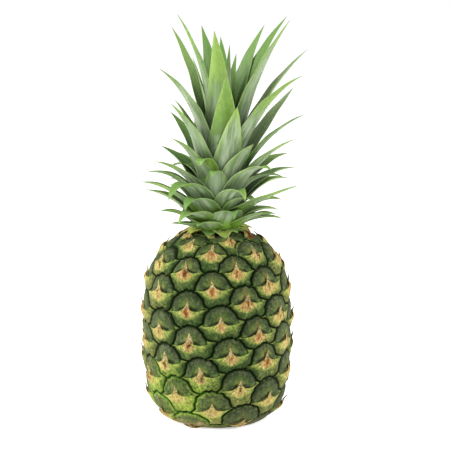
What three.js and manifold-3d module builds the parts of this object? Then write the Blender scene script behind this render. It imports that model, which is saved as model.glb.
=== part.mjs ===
import * as THREE from "three";
import { mergeVertices } from "three/addons/utils/BufferGeometryUtils.js";
import Module from "manifold-3d";

// A whole pineapple standing on its cut base, with its crown of leaves.
// Lengths are millimetres, angles degrees. +Z is up and the front faces -Y.
// The origin is the middle of the flat base.

// Fruit body: a barrel whose outline is half a superellipse below the belly and half of another above it.
const BODY_RADIUS = 54.5;
const BELLY_HEIGHT = 76.5;
const LOWER_REACH = 79.5;
const LOWER_POWER = 3.8;
const UPPER_REACH = 65.6;
const UPPER_POWER = 2.62;
const BODY_TOP = 141.7;

// Eyes: one spiral winds up the body and lays its eyes in rows of 5, 8 and 13.
const ROW_STEPS = { gentle: 5, steep: 8, upright: 13 };
const FIRST_EYE = -58;
const LAST_EYE = 50;
const EYE_TURN = { start: 3.2, step: 137.85, square: 3.5, cube: 3.5 };
const EYE_RUN = { start: 91.7, step: 1.706, cube: 5.1 };
const EYE_SCALE = 30;
const EYE_SCATTER = 1.1;

// Eyes that sit off their place on the spiral, as [aside, up].
const ODD_EYES = new Map([
  [29, [-4.5, -4.5]], [26, [1.5, 4.5]], [21, [-3.5, 0]], [18, [5, 5]], [16, [-5, -2]],
  [13, [0.5, 2.5]], [10, [6, 3]], [8, [-3, 1.5]], [5, [4, 1]], [3, [-2, -1.5]],
  [0, [0, 0]], [-3, [2, -2]], [-5, [-1.5, -0.5]], [-8, [-2, -1.5]], [-13, [-1, -1]],
  [-16, [-1, -3]], [-18, [-2, 3]], [-21, [-1, -1]], [-26, [-1.5, 0]], [-31, [-4, 0]],
]);

// Where the corners of an eye's cell lie between its middle and its neighbours.
const CELL_LIFT = 1.4;
const CORNER_REACH = 0.77;

// Relief of one eye: a groove round it, a swollen middle, and a bract across its lower half with a dry tip.
const GROOVE_DEPTH = 3.2;
const SWELL_HEIGHT = 4.3;
const SWELL_POWER = 2.6;
const BRACT_HEIGHT = 0.9;
const EYE_RINGS = [0.7];
const EDGE_PARTS = 2;
const TIP_ROOT = 1.5;
const TIP_RISE = 6.2;
const TIP_LIFT = 1.4;

// Cut stem in the middle of the base, and the gap that touching pieces keep.
const STEM_RADIUS = 13.5;
const STEM_DEPTH = 8;
const PIECE_GAP = 0.3;

// Crown: a short stem, leaning a little, with its leaves set one golden turn apart.
const CROWN_FOOT = BODY_TOP + PIECE_GAP;
const CROWN_LEAN = 3.5;
const CROWN_STEM = [[0, 17], [12, 14], [34, 8], [50, 3], [54, 1]];
const CROWN_STEM_SIDES = 14;
const FIRST_LEAF = -8;
const LAST_LEAF = 65;
const LEAF_TURN = { start: -152.5, step: 137.5 };
const LEAF_ROOT_DEPTH = { least: 1.2, more: 4 };

// How a leaf changes from the lowest and oldest to the innermost and youngest, in even steps.
const LEAF_AGES = {
  length: [24, 40, 50, 60, 72, 88, 116, 146, 60],
  rootRise: [32, 56, 63, 66, 70, 74, 78, 83, 89],
  tipRise: [2, -32, -14, 0, 12, 24, 38, 54, 82],
  width: [19, 21, 21, 21.5, 22, 22, 21, 18, 8],
  height: [1.8, 3, 6, 10, 15, 21, 29, 37, 46],
};
const LEAF_SCATTER = { length: 0.1, rootRise: 5, tipRise: 12, width: 0.08, turn: 5, sway: 14 };
const LEAF_BEND = 1.4;

// Leaves that grew otherwise than their age gives.
const ODD_LEAVES = new Map([
  [-7, { turn: -17, length: 32, rootRise: 22, tipRise: 2, width: 15 }],
  [-5, { length: 24, rootRise: 46, tipRise: 20 }],
  [-4, { turn: 24, length: 12, rootRise: 12, tipRise: -22, width: 9, height: 1.4 }],
  [-2, { turn: -6, length: 38, rootRise: 42, tipRise: -4, width: 17 }],
  [-1, { turn: 3, length: 40, rootRise: 32, tipRise: -14, width: 17 }],
  [1, {
    turn: -13, length: 20, rootRise: 37, tipRise: -80, width: 27,
    height: 0.8, bend: 5, point: 3.4, hood: 0.6,
  }],
  [2, { turn: -12, length: 38, rootRise: 42, tipRise: -20 }],
  [3, { turn: 3, length: 52, rootRise: 50, tipRise: 3 }],
  [4, { turn: 26, length: 39, rootRise: 46, tipRise: -4, width: 21, height: 0.4, bend: 1.3 }],
  [6, { turn: 4, length: 37, rootRise: 42, tipRise: -86, width: 25, bend: 2.5, point: 2.4, hood: 0.5 }],
  [7, { turn: -2, length: 42, rootRise: 58, tipRise: -16 }],
  [9, {
    turn: 12, length: 31, rootRise: 62, tipRise: -120, width: 26,
    height: 0.4, bend: 4, point: 3, hood: 0.7,
  }],
  [11, { turn: -4, length: 59, rootRise: 54, tipRise: 4 }],
  [12, { turn: -12, length: 36, rootRise: 67, tipRise: -90, width: 25, bend: 3, point: 2.6, hood: 0.5 }],
  [14, { turn: -8, length: 41, rootRise: 59, tipRise: -96, width: 26, bend: 2.8, point: 2.6, hood: 0.4 }],
  [15, { turn: -5, length: 56 }],
  [16, { turn: -10, length: 46 }],
  [17, { turn: 2, length: 44, rootRise: 70, tipRise: -100, width: 25, bend: 3, point: 2.6, hood: 0.5 }],
  [19, { turn: 14, length: 65, rootRise: 67, tipRise: -64, bend: 1.8 }],
  [20, { turn: -24, length: 64, rootRise: 32, tipRise: 19, width: 21 }],
  [22, { turn: -4, length: 47, rootRise: 76, tipRise: -120, width: 20, bend: 7, point: 4, hood: 0.3 }],
  [23, { turn: -11, length: 64, rootRise: 54, tipRise: -4 }],
  [24, { turn: 5, length: 58, rootRise: 66, tipRise: -6 }],
  [25, { turn: -4, length: 66, rootRise: 79, tipRise: -14, width: 24 }],
  [27, { turn: 10, length: 55, rootRise: 79, tipRise: -160, width: 20, bend: 7, point: 4, hood: 0.1 }],
  [28, { turn: -31, length: 52, rootRise: 78, tipRise: -22 }],
  [29, { turn: 2, length: 64, rootRise: 68, tipRise: 14 }],
  [30, { turn: 20, length: 64, rootRise: 84, tipRise: 26, width: 25 }],
  [32, { turn: 9, length: 61, rootRise: 60, tipRise: 11 }],
  [33, { turn: -1, length: 74, rootRise: 66, tipRise: 22, width: 23 }],
  [35, { turn: -30, length: 67, rootRise: 78, tipRise: 24 }],
  [36, { turn: 4, length: 68, rootRise: 50, tipRise: 0 }],
  [37, { turn: -23, length: 52, rootRise: 82, tipRise: -40 }],
  [38, { turn: -22, length: 84, rootRise: 78, tipRise: 48, width: 24 }],
  [40, { turn: 4, length: 86, rootRise: 78, tipRise: 40, width: 24 }],
  [41, { turn: -4, length: 84, rootRise: 70, tipRise: 24, width: 24 }],
  [42, { turn: 0, length: 78, rootRise: 60, tipRise: 34 }],
  [43, { turn: 6, length: 103, rootRise: 83, tipRise: 46, width: 25 }],
  [44, { turn: -11, length: 96, rootRise: 62, tipRise: 38 }],
  [45, { turn: -30, length: 76, rootRise: 76, tipRise: 50 }],
  [46, { turn: 2, length: 113, rootRise: 79, tipRise: 25, width: 24 }],
  [48, { turn: -30, length: 110, rootRise: 83, tipRise: 31, width: 22 }],
  [49, { turn: 1, length: 118, rootRise: 76, tipRise: 40 }],
  [50, { turn: -4, length: 126, rootRise: 82, tipRise: 52, width: 23 }],
  [51, { turn: 40, length: 133, rootRise: 82, tipRise: 56, width: 25 }],
  [52, { turn: 23, length: 120, rootRise: 80, tipRise: 40 }],
  [53, { turn: -3, length: 134, rootRise: 89, tipRise: 54 }],
  [54, { turn: 49, length: 133, rootRise: 88, tipRise: 42, width: 22 }],
  [55, { turn: -4, length: 122, rootRise: 82, tipRise: 50, width: 22 }],
  [56, { turn: -3, length: 118, rootRise: 84, tipRise: 62, width: 26 }],
  [57, { turn: 18, length: 119, rootRise: 86, tipRise: 52, width: 22 }],
  [58, { length: 92, rootRise: 84, tipRise: 66 }],
  [59, { length: 98, rootRise: 92, tipRise: 92, width: 14 }],
  [60, { turn: -20, length: 90, rootRise: 89, tipRise: 74, width: 16 }],
  [61, { turn: 4, length: 74 }],
  [62, { length: 60 }],
]);

// Leaf blade: a clasping base, a long point, and a channel along its inner face.
const BLADE_STATIONS = [0, 0.14, 0.3, 0.47, 0.64, 0.82];
const BLADE_STEPS = 60;
const BASE_SHARE = 0.15;
const BASE_WIDTH = 0.8;
const POINT_POWER = 1.7;
const HOOD = { start: 0.45, end: 0.85 };
const CHANNEL = { base: 0.42, middle: 0.3, tip: 0.25, middleAt: 0.3 };
const BLADE_THICKNESS = { base: 3, tip: 1 };

const wasm = await Module();
wasm.setup();

const radians = THREE.MathUtils.degToRad;

// A fixed draw between -1 and 1 for item number `index` of kind `kind`.
function scatter(index, kind) {
  const wave = Math.sin(index * 12.9898 + kind * 78.233) * 43758.5453;
  return 2 * (wave - Math.floor(wave)) - 1;
}

// The value at `share` (0 to 1) of a list of values set in even steps.
function blendAlong(values, share) {
  const place = THREE.MathUtils.clamp(share, 0, 1) * (values.length - 1);
  const step = Math.min(Math.floor(place), values.length - 2);
  return THREE.MathUtils.lerp(values[step], values[step + 1], place - step);
}

// The value at x on a line through [x, y] points in order of x.
function valueAt(points, x) {
  const after = points.findIndex((point) => point[0] > x);
  if (after === 0) return points[0][1];
  if (after < 0) return points[points.length - 1][1];
  const [x0, y0] = points[after - 1];
  const [x1, y1] = points[after];
  return THREE.MathUtils.mapLinear(x, x0, x1, y0, y1);
}

// A closed geometry as a manifold-3d solid, for joining and cutting.
function solidOf(geometry) {
  const bare = geometry.clone();
  bare.deleteAttribute("normal");
  bare.deleteAttribute("uv");
  const merged = mergeVertices(bare, 1e-4);
  return new wasm.Manifold(
    new wasm.Mesh({
      numProp: 3,
      vertProperties: new Float32Array(merged.attributes.position.array),
      triVerts: new Uint32Array(merged.index.array),
    }),
  );
}

// The largest closed body of a solid as a geometry: sealed hollows and loose scraps go.
function geometryOf(solid) {
  const bodies = solid.decompose();
  const largest = bodies.reduce((best, body) => (body.volume() > best.volume() ? body : best));
  const { vertProperties, triVerts, numProp } = largest.getMesh();
  const positions = new Float32Array((vertProperties.length / numProp) * 3);
  for (let i = 0; i < positions.length / 3; i++) {
    positions.set(vertProperties.subarray(i * numProp, i * numProp + 3), i * 3);
  }
  const geometry = new THREE.BufferGeometry();
  geometry.setAttribute("position", new THREE.BufferAttribute(positions, 3));
  geometry.setIndex(new THREE.BufferAttribute(triVerts, 1));
  return geometry;
}

// ---- fruit outline ----

function bodyRadius(height) {
  const below = height < BELLY_HEIGHT;
  const reach = below ? LOWER_REACH : UPPER_REACH;
  const power = below ? LOWER_POWER : UPPER_POWER;
  const share = Math.abs(height - BELLY_HEIGHT) / reach;
  return BODY_RADIUS * (1 - share ** power) ** (1 / power);
}

// The outline from the base to the top as [run along it, height, radius].
function bodyOutline() {
  const steps = 2000;
  const outline = [];
  let run = 0;
  let last = null;
  for (let i = 0; i <= steps; i++) {
    const height = (BODY_TOP * (1 - Math.cos((Math.PI * i) / steps))) / 2;
    const radius = bodyRadius(height);
    if (last) run += Math.hypot(height - last.height, radius - last.radius);
    outline.push([run, height, radius]);
    last = { height, radius };
  }
  return outline;
}

const OUTLINE = bodyOutline();
const HEIGHT_BY_RUN = OUTLINE.map(([run, height]) => [run, height]);
const RADIUS_BY_RUN = OUTLINE.map(([run, , radius]) => [run, radius]);
const OUTLINE_RUN = OUTLINE[OUTLINE.length - 1][0];

// A point of the body at a turn about the axis and a run along the outline, lifted off the skin.
// Past either end of the outline the skin goes on straight down or up, to be trimmed off later.
function skinPoint(turn, run, lift) {
  const inside = THREE.MathUtils.clamp(run, 0, OUTLINE_RUN);
  const reach = 0.5;
  const low = THREE.MathUtils.clamp(run - reach, 0, OUTLINE_RUN - reach);
  const rise = valueAt(HEIGHT_BY_RUN, low + reach) - valueAt(HEIGHT_BY_RUN, low);
  const spread = valueAt(RADIUS_BY_RUN, low + reach) - valueAt(RADIUS_BY_RUN, low);
  const length = Math.hypot(rise, spread);
  const radius = valueAt(RADIUS_BY_RUN, inside) + (lift * rise) / length;
  const height = valueAt(HEIGHT_BY_RUN, inside) + (run - inside) - (lift * spread) / length;
  const angle = radians(turn);
  return new THREE.Vector3(radius * Math.sin(angle), -radius * Math.cos(angle), height);
}

// ---- eyes ----

function eyeSpot(index) {
  const share = index / EYE_SCALE;
  const run = EYE_RUN.start + EYE_RUN.step * index + EYE_RUN.cube * share ** 3;
  const bow = EYE_TURN.square * share ** 2 + EYE_TURN.cube * share ** 3;
  const turn = EYE_TURN.start + EYE_TURN.step * index + bow;
  const drawn = [EYE_SCATTER * scatter(index, 1), EYE_SCATTER * scatter(index, 2)];
  const [aside, up] = ODD_EYES.get(index) || drawn;
  return { turn: turn + aside / radians(BODY_RADIUS), run: run + up };
}

const nearTurn = (turn, other) => turn - 360 * Math.round((turn - other) / 360);

// The corner where eye `index` meets the eye `side` steps on and the one straight above.
function cellCorner(index, side) {
  const spots = [eyeSpot(index), eyeSpot(index + side), eyeSpot(index + ROW_STEPS.upright)];
  const turns = spots.map((spot) => nearTurn(spot.turn, spots[0].turn));
  const turn = (turns[0] + turns[1] + turns[2]) / 3;
  const run = (spots[0].run + spots[1].run + spots[2].run) / 3;
  return {
    name: index + "/" + side,
    turn: THREE.MathUtils.lerp(turns[0], turn, CORNER_REACH),
    run: THREE.MathUtils.lerp(spots[0].run, run, CORNER_REACH) + CELL_LIFT,
  };
}

// The points round an eye's cell, from its right corner anticlockwise, shared with its neighbours by name.
function cellRim(index) {
  const { gentle, steep, upright } = ROW_STEPS;
  const corners = [
    cellCorner(index - gentle, gentle),
    cellCorner(index, steep),
    cellCorner(index, gentle),
    cellCorner(index - steep, steep),
    cellCorner(index - upright, gentle),
    cellCorner(index - upright, steep),
  ];
  const rim = [];
  corners.forEach((corner, i) => {
    const next = corners[(i + 1) % corners.length];
    const forward = corner.name < next.name;
    const [from, to] = forward ? [corner, next] : [next, corner];
    const toTurn = nearTurn(to.turn, from.turn);
    rim.push(corner);
    for (let part = 1; part < EDGE_PARTS; part++) {
      const share = (forward ? part : EDGE_PARTS - part) / EDGE_PARTS;
      rim.push({
        name: from.name + " " + to.name + " " + share,
        turn: THREE.MathUtils.lerp(from.turn, toTurn, share),
        run: THREE.MathUtils.lerp(from.run, to.run, share),
      });
    }
  });
  return rim;
}

// Height of the skin at `share` of the way from an eye's middle to its rim, on the bract or above it.
function eyeLift(share, onBract) {
  const swell = SWELL_HEIGHT * (1 - share ** SWELL_POWER);
  const bract = onBract ? BRACT_HEIGHT * (1 - share ** 3) : 0;
  return swell + bract - GROOVE_DEPTH;
}

// One eye's faces: rings from the rim inwards, then a small root with the dry tip standing on it.
function addEye(index, vertexAt, faces) {
  const middle = eyeSpot(index);
  const rim = cellRim(index);
  const rings = [1, ...EYE_RINGS].map((share, ring) =>
    rim.map((point, i) => {
      const turn = THREE.MathUtils.lerp(middle.turn, nearTurn(point.turn, middle.turn), share);
      const run = THREE.MathUtils.lerp(middle.run, point.run, share);
      const onBract = i === 0 || i >= rim.length / 2;
      const name = ring ? "eye " + index + " " + ring + " " + i : point.name;
      return vertexAt(name, turn, run, eyeLift(share, onBract && share < 1));
    }),
  );
  for (let ring = 0; ring + 1 < rings.length; ring++) {
    rings[ring].forEach((outer, i) => {
      const next = (i + 1) % rim.length;
      faces.push([outer, rings[ring][next], rings[ring + 1][next]]);
      faces.push([outer, rings[ring + 1][next], rings[ring + 1][i]]);
    });
  }
  const perMillimetre = 1 / radians(skinPoint(middle.turn, middle.run, 0).setZ(0).length());
  const root = [[1, 0], [0, 1], [-1, 0], [0, -1]].map(([x, y], i) =>
    vertexAt(
      "root " + index + " " + i,
      middle.turn + x * TIP_ROOT * perMillimetre,
      middle.run + y * TIP_ROOT,
      eyeLift(0, true),
    ),
  );
  const lean = 2 * scatter(index, 3) * perMillimetre;
  const tip = vertexAt(
    "tip " + index,
    middle.turn + lean,
    middle.run + TIP_RISE * (1 + 0.2 * scatter(index, 4)),
    eyeLift(0, true) + TIP_LIFT * (1 + 0.4 * scatter(index, 5)),
  );
  const inner = rings[rings.length - 1];
  const each = inner.length / root.length;
  root.forEach((corner, i) => {
    const next = root[(i + 1) % root.length];
    for (let step = 0; step < each; step++) {
      const from = inner[i * each + step];
      const to = inner[(i * each + step + 1) % inner.length];
      faces.push([from, to, corner]);
    }
    faces.push([corner, inner[((i + 1) * each) % inner.length], next]);
    faces.push([corner, next, tip]);
  });
}

// All the eyes as one skin, closed at both ends by a fan to a point on the axis.
function eyeSkin() {
  const names = new Map();
  const points = [];
  const vertexAt = (name, turn, run, lift) => {
    if (!names.has(name)) {
      names.set(name, points.length);
      points.push(skinPoint(turn, run, lift));
    }
    return names.get(name);
  };
  const faces = [];
  for (let index = FIRST_EYE; index <= LAST_EYE; index++) addEye(index, vertexAt, faces);
  closeEnds(points, faces);
  const geometry = new THREE.BufferGeometry().setFromPoints(points);
  geometry.setIndex(faces.flat());
  return geometry;
}

function closeEnds(points, faces) {
  const beyond = 80;
  const bottom = points.push(new THREE.Vector3(0, 0, -beyond)) - 1;
  const top = points.push(new THREE.Vector3(0, 0, BODY_TOP + beyond)) - 1;
  const edges = new Set();
  const edgeName = (a, b) => a + " " + b;
  for (const [a, b, c] of faces) {
    edges.add(edgeName(a, b));
    edges.add(edgeName(b, c));
    edges.add(edgeName(c, a));
  }
  for (const name of [...edges]) {
    const [a, b] = name.split(" ").map(Number);
    if (edges.has(edgeName(b, a))) continue;
    faces.push([b, a, points[a].z < BELLY_HEIGHT ? bottom : top]);
  }
}

// A block that trims everything between two heights off the body.
function trimBlock(low, high) {
  const side = 4 * BODY_RADIUS;
  const block = new THREE.BoxGeometry(side, side, high - low);
  block.translate(0, 0, (low + high) / 2);
  return solidOf(block);
}

// An upright cylinder between two heights.
function roundBar(radius, low, high) {
  const bar = new THREE.CylinderGeometry(radius, radius, high - low, 32);
  bar.rotateX(Math.PI / 2);
  bar.translate(0, 0, (low + high) / 2);
  return bar;
}

function fruitBody() {
  const far = 200;
  const socket = solidOf(roundBar(STEM_RADIUS + PIECE_GAP, -1, STEM_DEPTH + PIECE_GAP));
  const below = trimBlock(-far, 0);
  const above = trimBlock(BODY_TOP, BODY_TOP + far);
  return geometryOf(solidOf(eyeSkin()).subtract(below).subtract(above).subtract(socket));
}

// ---- crown ----

// A leaf's own measures: its age gives them, a fixed draw scatters them, and an odd leaf has its own.
function leafMeasures(index) {
  const age = (index - FIRST_LEAF) / (LAST_LEAF - FIRST_LEAF);
  const odd = ODD_LEAVES.get(index) || {};
  const length = blendAlong(LEAF_AGES.length, age) * (1 + LEAF_SCATTER.length * scatter(index, 1));
  const rootRise = blendAlong(LEAF_AGES.rootRise, age) + LEAF_SCATTER.rootRise * scatter(index, 2);
  const tipRise = blendAlong(LEAF_AGES.tipRise, age) + LEAF_SCATTER.tipRise * scatter(index, 3);
  const width = blendAlong(LEAF_AGES.width, age) * (1 + LEAF_SCATTER.width * scatter(index, 4));
  const turn = LEAF_TURN.start + LEAF_TURN.step * index + LEAF_SCATTER.turn * scatter(index, 5);
  return {
    height: blendAlong(LEAF_AGES.height, age),
    sway: LEAF_SCATTER.sway * scatter(index, 6),
    bend: LEAF_BEND,
    point: POINT_POWER,
    hood: 0,
    length,
    rootRise,
    tipRise,
    width,
    ...odd,
    turn: turn + (odd.turn || 0),
  };
}

// The half width of a blade at a share of its length.
function bladeHalfWidth(leaf, share) {
  if (share < BASE_SHARE) {
    const spread = Math.sin(((share / BASE_SHARE) * Math.PI) / 2);
    return (leaf.width / 2) * (BASE_WIDTH + (1 - BASE_WIDTH) * spread);
  }
  const past = (share - BASE_SHARE) / (1 - BASE_SHARE);
  const hood = leaf.hood * THREE.MathUtils.smoothstep(share, HOOD.start, HOOD.end);
  return (leaf.width / 2) * (1 - past ** leaf.point) * (1 - hood);
}

// A leaf's middle line as frames: where it is, and which way its side and its inner face look.
function leafFrames(leaf) {
  const turnAt = (share) => radians(leaf.turn + leaf.sway * share ** 2);
  const riseAt = (share) => radians(leaf.rootRise + (leaf.tipRise - leaf.rootRise) * share ** leaf.bend);
  const depth = LEAF_ROOT_DEPTH.least + LEAF_ROOT_DEPTH.more * Math.cos(riseAt(0));
  const startRadius = valueAt(CROWN_STEM, leaf.height) - depth;
  const outward = new THREE.Vector3(Math.sin(turnAt(0)), -Math.cos(turnAt(0)), 0);
  const place = outward.multiplyScalar(startRadius).add(new THREE.Vector3(0, 0, leaf.height));
  const frames = [];
  for (let step = 0; step <= BLADE_STEPS; step++) {
    const share = step / BLADE_STEPS;
    const turn = turnAt(share);
    const rise = riseAt(share);
    frames.push({
      place: place.clone(),
      side: new THREE.Vector3(Math.cos(turn), Math.sin(turn), 0),
      inner: new THREE.Vector3(
        -Math.sin(turn) * Math.sin(rise),
        Math.cos(turn) * Math.sin(rise),
        Math.cos(rise),
      ),
    });
    const half = share + 0.5 / BLADE_STEPS;
    const ahead = new THREE.Vector3(
      Math.cos(riseAt(half)) * Math.sin(turnAt(half)),
      -Math.cos(riseAt(half)) * Math.cos(turnAt(half)),
      Math.sin(riseAt(half)),
    );
    place.addScaledVector(ahead, leaf.length / BLADE_STEPS);
  }
  return frames;
}

// The four points of a blade's section: right edge, inner rib, left edge, outer rib.
function bladeSection(leaf, frame, share) {
  const half = bladeHalfWidth(leaf, share);
  const stations = [[0, CHANNEL.base], [CHANNEL.middleAt, CHANNEL.middle], [1, CHANNEL.tip]];
  const channel = half * valueAt(stations, share);
  const thick = THREE.MathUtils.lerp(BLADE_THICKNESS.base, BLADE_THICKNESS.tip, share);
  const at = (aside, inward) =>
    frame.place.clone().addScaledVector(frame.side, aside).addScaledVector(frame.inner, inward);
  return [at(half, channel), at(0, thick / 2), at(-half, channel), at(0, -thick / 2)];
}

function leafBlade(leaf) {
  const frames = leafFrames(leaf);
  const points = BLADE_STATIONS.flatMap((share) =>
    bladeSection(leaf, frames[Math.round(share * BLADE_STEPS)], share),
  );
  const tip = points.push(frames[BLADE_STEPS].place) - 1;
  const sides = 4;
  const last = (BLADE_STATIONS.length - 1) * sides;
  const faces = [[1, 0, 3], [3, 2, 1]];
  for (let low = 0; low < last; low += sides) {
    for (let i = 0; i < sides; i++) {
      const [a, b] = [low + i, low + ((i + 1) % sides)];
      const [c, d] = [b + sides, a + sides];
      // Both faces of the blade are split from the rib outwards, so they never cross.
      faces.push(...(i % 2 ? [[a, b, c], [a, c, d]] : [[a, b, d], [b, c, d]]));
    }
  }
  for (let i = 0; i < sides; i++) faces.push([last + i, last + ((i + 1) % sides), tip]);
  const geometry = new THREE.BufferGeometry().setFromPoints(points);
  geometry.setIndex(faces.flat());
  return geometry;
}

function crownStem() {
  const profile = [[0, 0], ...CROWN_STEM.map(([height, radius]) => [radius, height])];
  profile.push([0, profile[profile.length - 1][1]]);
  const outline = profile.map(([radius, height]) => new THREE.Vector2(radius, height));
  return new THREE.LatheGeometry(outline, CROWN_STEM_SIDES).rotateX(Math.PI / 2);
}

function crown() {
  let joined = solidOf(crownStem());
  for (let index = FIRST_LEAF; index <= LAST_LEAF; index++) {
    joined = joined.add(solidOf(leafBlade(leafMeasures(index))));
  }
  const lean = new THREE.Matrix4().makeShear(0, 0, 0, 0, Math.tan(radians(CROWN_LEAN)), 0);
  return geometryOf(joined).applyMatrix4(lean);
}

// ---- the whole ----

function piece(name, geometry, color, roughness) {
  const mesh = new THREE.Mesh(geometry, new THREE.MeshStandardMaterial({ color, roughness, metalness: 0 }));
  mesh.name = name;
  return mesh;
}

const pineapple = new THREE.Group();
pineapple.add(piece("fruit", fruitBody(), 0x6f7f3f, 0.6));
pineapple.add(piece("cut_stem", roundBar(STEM_RADIUS, 0, STEM_DEPTH), 0xb79f6c, 0.9));
const leaves = piece("crown", crown(), 0x6f9160, 0.55);
leaves.position.z = CROWN_FOOT;
pineapple.add(leaves);

export default pineapple;
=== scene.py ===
"""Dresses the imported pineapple: finer skin, bracts, leaves and stem end over its solids, and finishes."""

import math

import bpy
import numpy as np
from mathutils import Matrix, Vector


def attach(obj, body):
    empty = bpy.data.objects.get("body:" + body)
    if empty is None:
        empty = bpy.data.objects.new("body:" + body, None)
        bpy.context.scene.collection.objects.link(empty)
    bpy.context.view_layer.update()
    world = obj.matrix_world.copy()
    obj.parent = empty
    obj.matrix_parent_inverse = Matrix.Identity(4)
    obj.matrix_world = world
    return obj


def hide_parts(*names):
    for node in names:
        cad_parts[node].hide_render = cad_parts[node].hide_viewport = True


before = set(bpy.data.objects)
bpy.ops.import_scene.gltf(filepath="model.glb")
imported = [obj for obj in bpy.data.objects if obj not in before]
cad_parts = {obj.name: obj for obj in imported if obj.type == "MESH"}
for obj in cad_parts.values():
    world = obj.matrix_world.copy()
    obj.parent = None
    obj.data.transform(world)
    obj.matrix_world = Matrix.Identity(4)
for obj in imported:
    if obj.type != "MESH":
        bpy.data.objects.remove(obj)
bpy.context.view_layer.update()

# Lengths are millimetres and angles degrees, as in the part's source. Meshes are made in metres.
MM = 0.001

# Fruit outline: half a superellipse below the belly and half of another above it.
BODY_RADIUS = 54.5
BELLY_HEIGHT = 76.5
LOWER_REACH = 79.5
LOWER_POWER = 3.8
UPPER_REACH = 65.6
UPPER_POWER = 2.62
BODY_TOP = 141.7

# Eyes: one spiral winds up the body and lays its eyes in rows of 5, 8 and 13. An eye's turn and its run up
# the outline are cubic in its number, whose higher powers are taken of number / EYE_SCALE. A draw moves each
# eye a little, and the odd ones are moved aside and up by their own steps instead.
GENTLE, STEEP, UPRIGHT = 5, 8, 13
FIRST_EYE = -58
LAST_EYE = 50
EYE_TURN = (3.2, 137.85, 3.5, 3.5)
EYE_RUN = (91.7, 1.706, 0, 5.1)
EYE_SCALE = 30
EYE_SCATTER = 1.1
ODD_EYES = {
    29: (-4.5, -4.5), 26: (1.5, 4.5), 21: (-3.5, 0), 18: (5, 5), 16: (-5, -2),
    13: (0.5, 2.5), 10: (6, 3), 8: (-3, 1.5), 5: (4, 1), 3: (-2, -1.5),
    0: (0, 0), -3: (2, -2), -5: (-1.5, -0.5), -8: (-2, -1.5), -13: (-1, -1),
    -16: (-1, -3), -18: (-2, 3), -21: (-1, -1), -26: (-1.5, 0), -31: (-4, 0),
}

# An eye's cell: its corners among the neighbouring eyes, its edges, and where its rings of faces lie.
CELL_LIFT = 1.4
CORNER_REACH = 0.77
EDGE_PARTS = 9
DOME_FULLNESS = 1.02
WING_SHARPNESS = 18
RIM_WAVE = 0.75
RING_SHARES = [0, 0.13, 0.26, 0.38, 0.5, 0.61, 0.71, 0.79, 0.85, 0.895, 0.93, 0.955, 0.975, 0.99, 1]

# Relief of an eye, from the groove round it to its middle. It is lower where the body narrows.
SIZE_MARGIN = 0.15
GROOVE_DEPTH = 3.2
RIM_HEIGHT = 3.3
RIM_POWER = 12
DOME_HEIGHT = 0.8
# A keel up the middle of an eye, and a dip above its bract's lip, each with how tall and wide it spreads.
KEEL = {"height": 1.2, "middle": -2.5, "tall": 3.6, "wide": 4.5}
LIP_DIP = {"depth": 0.8, "above_lip": 1.6, "tall": 1.5, "wide": 9}

# Bracts: the free lip across an eye, and the dry tip that stands up from its middle.
LIP_RISE = 1.3
LIP_THICKNESS = 0.45
LIP_SAG = {"depth": 1.5, "middle": 0.42, "wide": 0.3}
LIP_PEAK = {"height": 0.9, "wide": 3.2}
TIP_LENGTH = 6.6
TIP_HALF_WIDTH = 4.4
TIP_SHARPNESS = 4
TIP_LIFT = 0.6
TIP_SCATTER = {"length": 0.25, "lean": 1.6, "lift": 0.5}
TIP_MARK_HALF_WIDTH = 5
BRACT_COLUMNS = 32
BRACT_ROWS = 16
BRACT_GATHER = {"columns": 1.8, "rows": 1.35}
BRACT_REACH = 0.95
BRACT_FROM_BASE = 1.5
BRACT_FROM_TOP = 4
WING_THINNING = 0.75
BRACT_LIFT = {"lip": 0.12, "rim": -0.5}
BRACT_SUNK = 3.2
BRACT_RIDGE = {"height": 0.35, "wide": 1.6}
EDGE_SUNK = 0.5
FLOOR_GAP = 0.02

# Cut stem, with the steps inwards and up that sink the middle of its end, and the socket in the fruit's base.
STEM_RADIUS = 13.5
STEM_DEPTH = 8
STEM_SIDES = 64
STEM_STEPS = ((1.2, 0), (3, -0.15), (4, -0.25))
STEM_ROUNDING = 0.4
PIECE_GAP = 0.3
SOCKET_RADIUS = STEM_RADIUS + PIECE_GAP
SOCKET_RIM = 4
SOCKET_STEP = 0.6
CAP_RADIUS = 10

# Crown: leaves a golden turn apart on a short leaning stem. LEAF_AGES gives a leaf's measures in even steps
# from the first leaf to the last, draws scatter them, and the odd leaves have measures of their own, where
# turn is added to the rule's.
CROWN_FOOT = BODY_TOP + PIECE_GAP
CROWN_LEAN = 3.5
CROWN_STEM = [(0, 17), (12, 14), (34, 8), (50, 3), (54, 1)]
FIRST_LEAF = -8
LAST_LEAF = 65
LEAF_TURN = (-152.5, 137.5)
ROOT_DEPTH = (1.2, 4)
LEAF_AGES = {
    "length": [24, 40, 50, 60, 72, 88, 116, 146, 60],
    "root_rise": [32, 56, 63, 66, 70, 74, 78, 83, 89],
    "tip_rise": [2, -32, -14, 0, 12, 24, 38, 54, 82],
    "width": [19, 21, 21, 21.5, 22, 22, 21, 18, 8],
    "height": [1.8, 3, 6, 10, 15, 21, 29, 37, 46],
}
LEAF_SCATTER = {"length": 0.1, "root_rise": 5, "tip_rise": 12, "width": 0.08, "turn": 5, "sway": 14}
LEAF_BEND = 1.4
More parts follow.
